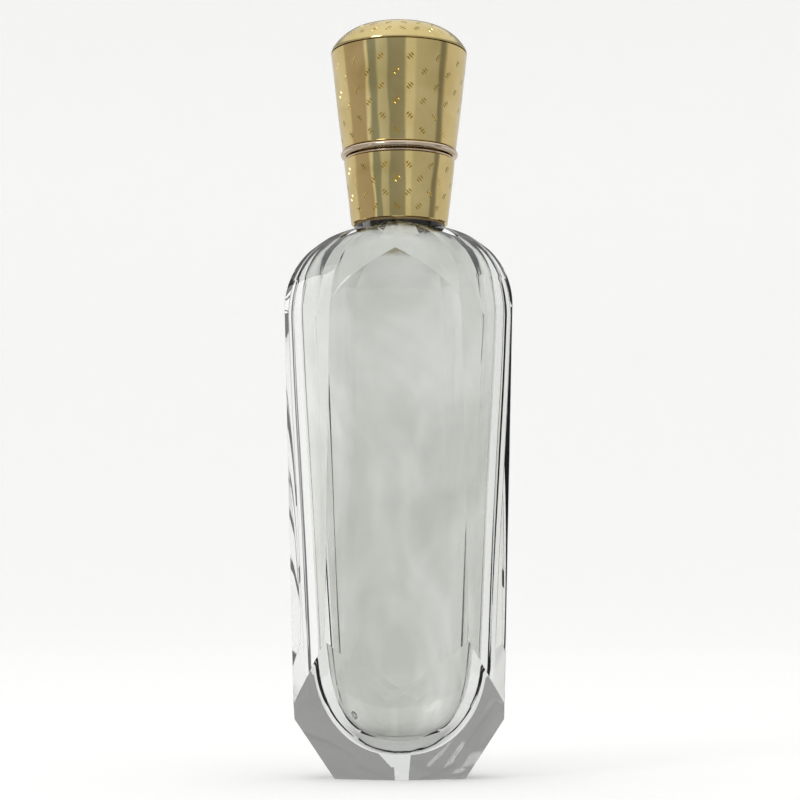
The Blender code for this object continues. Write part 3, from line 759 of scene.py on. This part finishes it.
class Look:
    """A Principled material and the few node chains that the looks here share."""

    def __init__(self, name, color, roughness, metallic=0.0):
        self.material = bpy.data.materials.new(name)
        self.material.use_nodes = True
        self.tree = self.material.node_tree
        self.shader = self.tree.nodes["Principled BSDF"]
        self.shader.inputs["Base Color"].default_value = (*color, 1)
        self.shader.inputs["Roughness"].default_value = roughness
        self.shader.inputs["Metallic"].default_value = metallic
        self.place = self.node("ShaderNodeTexCoord").outputs["Object"]

    def node(self, kind, **values):
        made = self.tree.nodes.new(kind)
        for name, value in values.items():
            setattr(made, name, value)
        return made

    def link(self, source, node, socket):
        self.tree.links.new(source, node.inputs[socket])

    def stretched(self, scale):
        mapping = self.node("ShaderNodeMapping")
        mapping.inputs["Scale"].default_value = scale
        self.link(self.place, mapping, "Vector")
        return mapping.outputs["Vector"]

    def noise(self, per_metre, detail=3.0, scale=(1, 1, 1), distortion=0.0):
        made = self.node("ShaderNodeTexNoise")
        made.inputs["Scale"].default_value = per_metre
        made.inputs["Detail"].default_value = detail
        made.inputs["Distortion"].default_value = distortion
        self.link(self.stretched(scale), made, "Vector")
        return made.outputs["Fac"]

    def ramp(self, value, *stops):
        made = self.node("ShaderNodeValToRGB")
        fill_ramp(made, stops)
        self.link(value, made, "Fac")
        return made.outputs["Color"]

    def range(self, value, low, high, start=0.3, end=0.7):
        made = self.node("ShaderNodeMapRange")
        for socket, number in (
            ("From Min", start),
            ("From Max", end),
            ("To Min", low),
            ("To Max", high),
        ):
            made.inputs[socket].default_value = number
        self.link(value, made, "Value")
        return made.outputs["Result"]

    def mix(self, kind, factor, a, b):
        made = self.node("ShaderNodeMix", data_type="RGBA", blend_type=kind)
        if isinstance(factor, float):
            made.inputs["Factor"].default_value = factor
        else:
            self.link(factor, made, "Factor")
        self.link(a, made, 6)
        self.link(b, made, 7)
        return made.outputs[2]

    def math(self, operation, a, b):
        made = self.node("ShaderNodeMath", operation=operation)
        for index, value in enumerate((a, b)):
            if isinstance(value, (int, float)):
                made.inputs[index].default_value = value
            else:
                self.link(value, made, index)
        return made.outputs[0]

    def bump(self, height, distance, strength=1.0):
        made = self.node("ShaderNodeBump")
        made.inputs["Distance"].default_value = distance
        made.inputs["Strength"].default_value = strength
        self.link(height, made, "Height")
        self.link(made.outputs["Normal"], self.shader, "Normal")


def gold_look(name, bright, dull, roughness):
    """Worn polished gold: cloudy tone, fine rubbed lines round the mount, and small pits."""
    look = Look(name, bright, roughness, 1.0)
    cloud = look.noise(170, 4.0, distortion=0.4)
    tone = look.ramp(cloud, (0.32, dull), (0.66, bright))
    pits = look.ramp(look.noise(3200, 2.0), (0.24, 0.5), (0.3, 1.0))
    look.link(look.mix("MULTIPLY", 0.4, tone, pits), look.shader, "Base Color")
    rubbed = look.noise(900, 3.0, scale=(1, 1, 9))
    worn = look.math("ADD", look.range(rubbed, -0.03, 0.05), look.range(cloud, 0.03, -0.01))
    look.link(look.math("ADD", worn, roughness), look.shader, "Roughness")
    look.bump(rubbed, 0.003 * MM, 0.4)
    return look.material


def crystal_look(name):
    """Clear lead crystal with a faint grey-green body colour and a hand-polished skin. It gives back the
    whole look, for inside_look to go on with."""
    look = Look(name, CRYSTAL_COLOR, 0.0)
    look.shader.inputs["IOR"].default_value = CRYSTAL_IOR
    look.shader.inputs["Transmission Weight"].default_value = 1.0
    waves = look.noise(110, 2.0, scale=(1, 1, 0.3))
    look.bump(waves, 0.035 * MM, 0.35)
    return look


def inside_look():
    """The blown wall inside: a cloudy dried film, and painted shade round the root of the neck, a dark
    brown that stands in for the shadowed collar and cement seen up through the glass.
    """
    look = crystal_look("crystal_inside")
    film = look.noise(52, 3.0, scale=(1, 1, 0.7), distortion=0.8)
    tone = look.ramp(film, (0.42, (0.65, 0.66, 0.63)), (0.6, (0.91, 0.92, 0.9)))
    split = look.node("ShaderNodeSeparateXYZ")
    look.link(look.place, split, "Vector")
    # Painted shade: dark brown from about these heights up, with a ragged edge, standing in for the
    # shadowed collar and cement seen through the shoulder
    edge = look.math("ADD", split.outputs["Z"], look.range(look.noise(600), -0.3 * MM, 0.3 * MM))
    painted_shade = look.range(edge, 0.0, 1.0, PAINTED_SHADE_LOW_Z, PAINTED_SHADE_TOP_Z)
    brown = look.node("ShaderNodeRGB")
    brown.outputs[0].default_value = (0.2, 0.17, 0.07, 1)
    mixed = look.mix("MIX", painted_shade, tone, brown.outputs[0])
    look.link(mixed, look.shader, "Base Color")
    haze = look.noise(75, 5.0, scale=(1, 1, 0.45), distortion=0.5)
    look.link(look.range(haze, 0.0, 0.05, 0.46, 0.8), look.shader, "Roughness")
    return look.material


def ground_glass_look():
    look = Look("ground_glass", (0.93, 0.94, 0.93), 0.45)
    look.shader.inputs["IOR"].default_value = CRYSTAL_IOR
    look.shader.inputs["Transmission Weight"].default_value = 1.0
    grain = look.noise(6000, 2.0)
    look.link(look.range(grain, 0.32, 0.55), look.shader, "Roughness")
    look.bump(grain, 0.01 * MM, 0.6)
    return look.material


def plaster_look():
    # The cement's own aged brown, made darker still as painted shade for the shadowed inside of the
    # collar seen through the neck
    look = Look("aged_cement_painted_shade", (0.3, 0.21, 0.09), 0.85)
    cloud = look.noise(500, 5.0)
    look.link(
        look.ramp(cloud, (0.3, (0.13, 0.085, 0.03)), (0.7, (0.36, 0.26, 0.12))),
        look.shader,
        "Base Color",
    )
    look.bump(look.noise(2500, 4.0), 0.04 * MM, 0.8)
    return look.material


# Stage -------------------------------------------------------------------------------------------


def camera():
    lens = bpy.data.cameras.new("camera")
    lens.lens = CAMERA_LENS
    lens.sensor_width = 36
    lens.clip_start = 0.01
    obj = bpy.data.objects.new("camera", lens)
    bpy.context.scene.collection.objects.link(obj)
    position = direction(CAMERA_AZIMUTH) * CAMERA_DISTANCE
    position.z = CAMERA_HEIGHT
    obj.location = position
    aim = Vector((0, 0, CAMERA_AIM_Z)) - position
    turn = aim.to_track_quat("-Z", "Y") @ Quaternion((0, 0, 1), CAMERA_ROLL)
    obj.rotation_euler = turn.to_euler()
    bpy.context.scene.camera = obj


def panel_light(name, azimuth, height, distance, size, radiance, only=None):
    """A soft panel that faces the bottle. With only, it lights nothing but those pieces."""
    width, tall = size
    light = bpy.data.lights.new(name, "AREA")
    light.shape = "RECTANGLE"
    light.size, light.size_y = width, tall
    light.energy = radiance * math.pi * width * tall
    obj = bpy.data.objects.new(name, light)
    bpy.context.scene.collection.objects.link(obj)
    obj.location = direction(azimuth) * distance + Vector((0, 0, height))
    aim = Vector((0, 0, 60 * MM)) - obj.location
    obj.rotation_euler = aim.to_track_quat("-Z", "Y").to_euler()
    obj.visible_camera = False
    if only:
        group = bpy.data.collections.new(name + "_lights")
        for piece in only:
            group.objects.link(piece)
        obj.light_linking.receiver_collection = group
    return obj


def bowl():
    """A round sweep: the pale floor, curving up into a wall on every side."""
    turn_steps, sweep_steps = 96, 16
    flat = BOWL_RADIUS - BOWL_SWEEP
    profile = [(0.0, 0.0)]
    profile += [(flat * share, 0.0) for share in (0.02, 0.06, 0.15, 0.35, 0.6, 0.8)]
    for step in range(sweep_steps + 1):
        angle = math.pi / 2 * step / sweep_steps
        profile.append((flat + BOWL_SWEEP * math.sin(angle), BOWL_SWEEP * (1 - math.cos(angle))))
    profile.append((BOWL_RADIUS, BOWL_HEIGHT))
    shape = bmesh.new()
    middle = shape.verts.new((0, 0, 0))
    rings = []
    for r, z in profile[1:]:
        angles = [2 * math.pi * step / turn_steps for step in range(turn_steps)]
        rings.append([shape.verts.new((r * math.cos(a), r * math.sin(a), z)) for a in angles])
    for i in range(turn_steps):
        j = (i + 1) % turn_steps
        shape.faces.new((middle, rings[0][i], rings[0][j]))
        for low, high in zip(rings, rings[1:]):
            shape.faces.new((low[i], high[i], high[j], low[j]))
    obj = add_mesh("backdrop", shape)
    obj.data.shade_smooth()
    look = Look("backdrop", (0.83, 0.83, 0.825), 0.95)
    look.shader.inputs["Specular IOR Level"].default_value = 0.0
    look.shader.inputs["Emission Color"].default_value = (0.83, 0.83, 0.825, 1)
    look.shader.inputs["Emission Strength"].default_value = 0.3
    obj.data.materials.append(look.material)
    obj.visible_glossy = False


def tint(value, warmth):
    """A grey, turned towards orange by its warmth, or towards blue where that is below zero."""
    return (value * (1 + warmth), value * (1 + min(0.0, -warmth) / 2), value * (1 - warmth))


def world():
    """A grey room: light panels round its horizon, a dim band above them, a bright ceiling, and a grey
    floor that is dark straight below."""
    made = bpy.data.worlds.new("room")
    made.use_nodes = True
    nodes, links = made.node_tree.nodes, made.node_tree.links

    def fed(kind, source, socket=0, **values):
        """A new node, with this source linked to one of its sockets."""
        node = nodes.new(kind)
        for name, value in values.items():
            setattr(node, name, value)
        links.new(source, node.inputs[socket])
        return node

    split = fed("ShaderNodeSeparateXYZ", nodes.new("ShaderNodeTexCoord").outputs["Generated"])
    flip = fed("ShaderNodeMath", split.outputs["Y"], operation="MULTIPLY")
    flip.inputs[1].default_value = -1
    turn = fed("ShaderNodeMath", split.outputs["X"], operation="ARCTAN2")
    links.new(flip.outputs[0], turn.inputs[1])
    share = fed("ShaderNodeMapRange", turn.outputs[0], "Value")
    share.inputs["From Min"].default_value = -math.pi
    share.inputs["From Max"].default_value = math.pi
    around = fed("ShaderNodeValToRGB", share.outputs["Result"], "Fac")
    fill_ramp(around, [((azimuth + 180) / 360, tint(*light)) for azimuth, *light in HORIZON])
    level = fed("ShaderNodeMapRange", split.outputs["Z"], "Value")
    level.inputs["From Min"].default_value = -1
    above = fed("ShaderNodeValToRGB", level.outputs["Result"], "Fac")
    fill_ramp(above, [((height + 1) / 2, value) for height, value in HEIGHTS])
    steep = fed("ShaderNodeMath", split.outputs["Z"], operation="ABSOLUTE")
    blend = fed("ShaderNodeMapRange", steep.outputs[0], "Value")
    blend.inputs["From Min"].default_value = HORIZON_BLEND[0]
    blend.inputs["From Max"].default_value = HORIZON_BLEND[1]
    mix = fed("ShaderNodeMix", blend.outputs["Result"], "Factor", data_type="RGBA")
    links.new(around.outputs["Color"], mix.inputs[6])
    links.new(above.outputs["Color"], mix.inputs[7])
    links.new(mix.outputs[2], nodes["Background"].inputs["Color"])
    bpy.context.scene.world = made


def stage(glass):
    world()
    bowl()
    floor_light = panel_light("floor_light", 0, 1.5, 0.1, (1.6, 1.6), 0.55)
    floor_light.visible_glossy = False
    panel_light("key", -38, 0.42, 0.5, (0.16, 0.16), 4.0)
    left = panel_light("left_panel", -92, 0.12, 0.45, (0.22, 0.9), 2.4, only=glass)
    left.visible_transmission = False
    camera()
    bpy.context.scene.view_settings.view_transform = "Standard"


# The bottle --------------------------------------------------------------------------------------


def main():
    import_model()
    crystal = crystal_look("crystal").material
    inside = inside_look()
    ground = ground_glass_look()
    gold = gold_look("engraved_gold", (0.86, 0.70, 0.33), (0.72, 0.57, 0.235), 0.05)
    rose = gold_look("rose_gold", (0.86, 0.72, 0.56), (0.72, 0.57, 0.42), 0.1)
    plaster = plaster_look()
    glass = [glass_body(crystal, inside, ground), stopper_piece(crystal, ground)]
    setting_cement(plaster)
    collar(gold)
    lid_wall(gold)
    lid_dome(gold)
    rim_wire(rose)
    top_ring(rose)
    bezel(gold)
    liner(gold)
    hinge(gold, rose)
    stage(glass)


main()
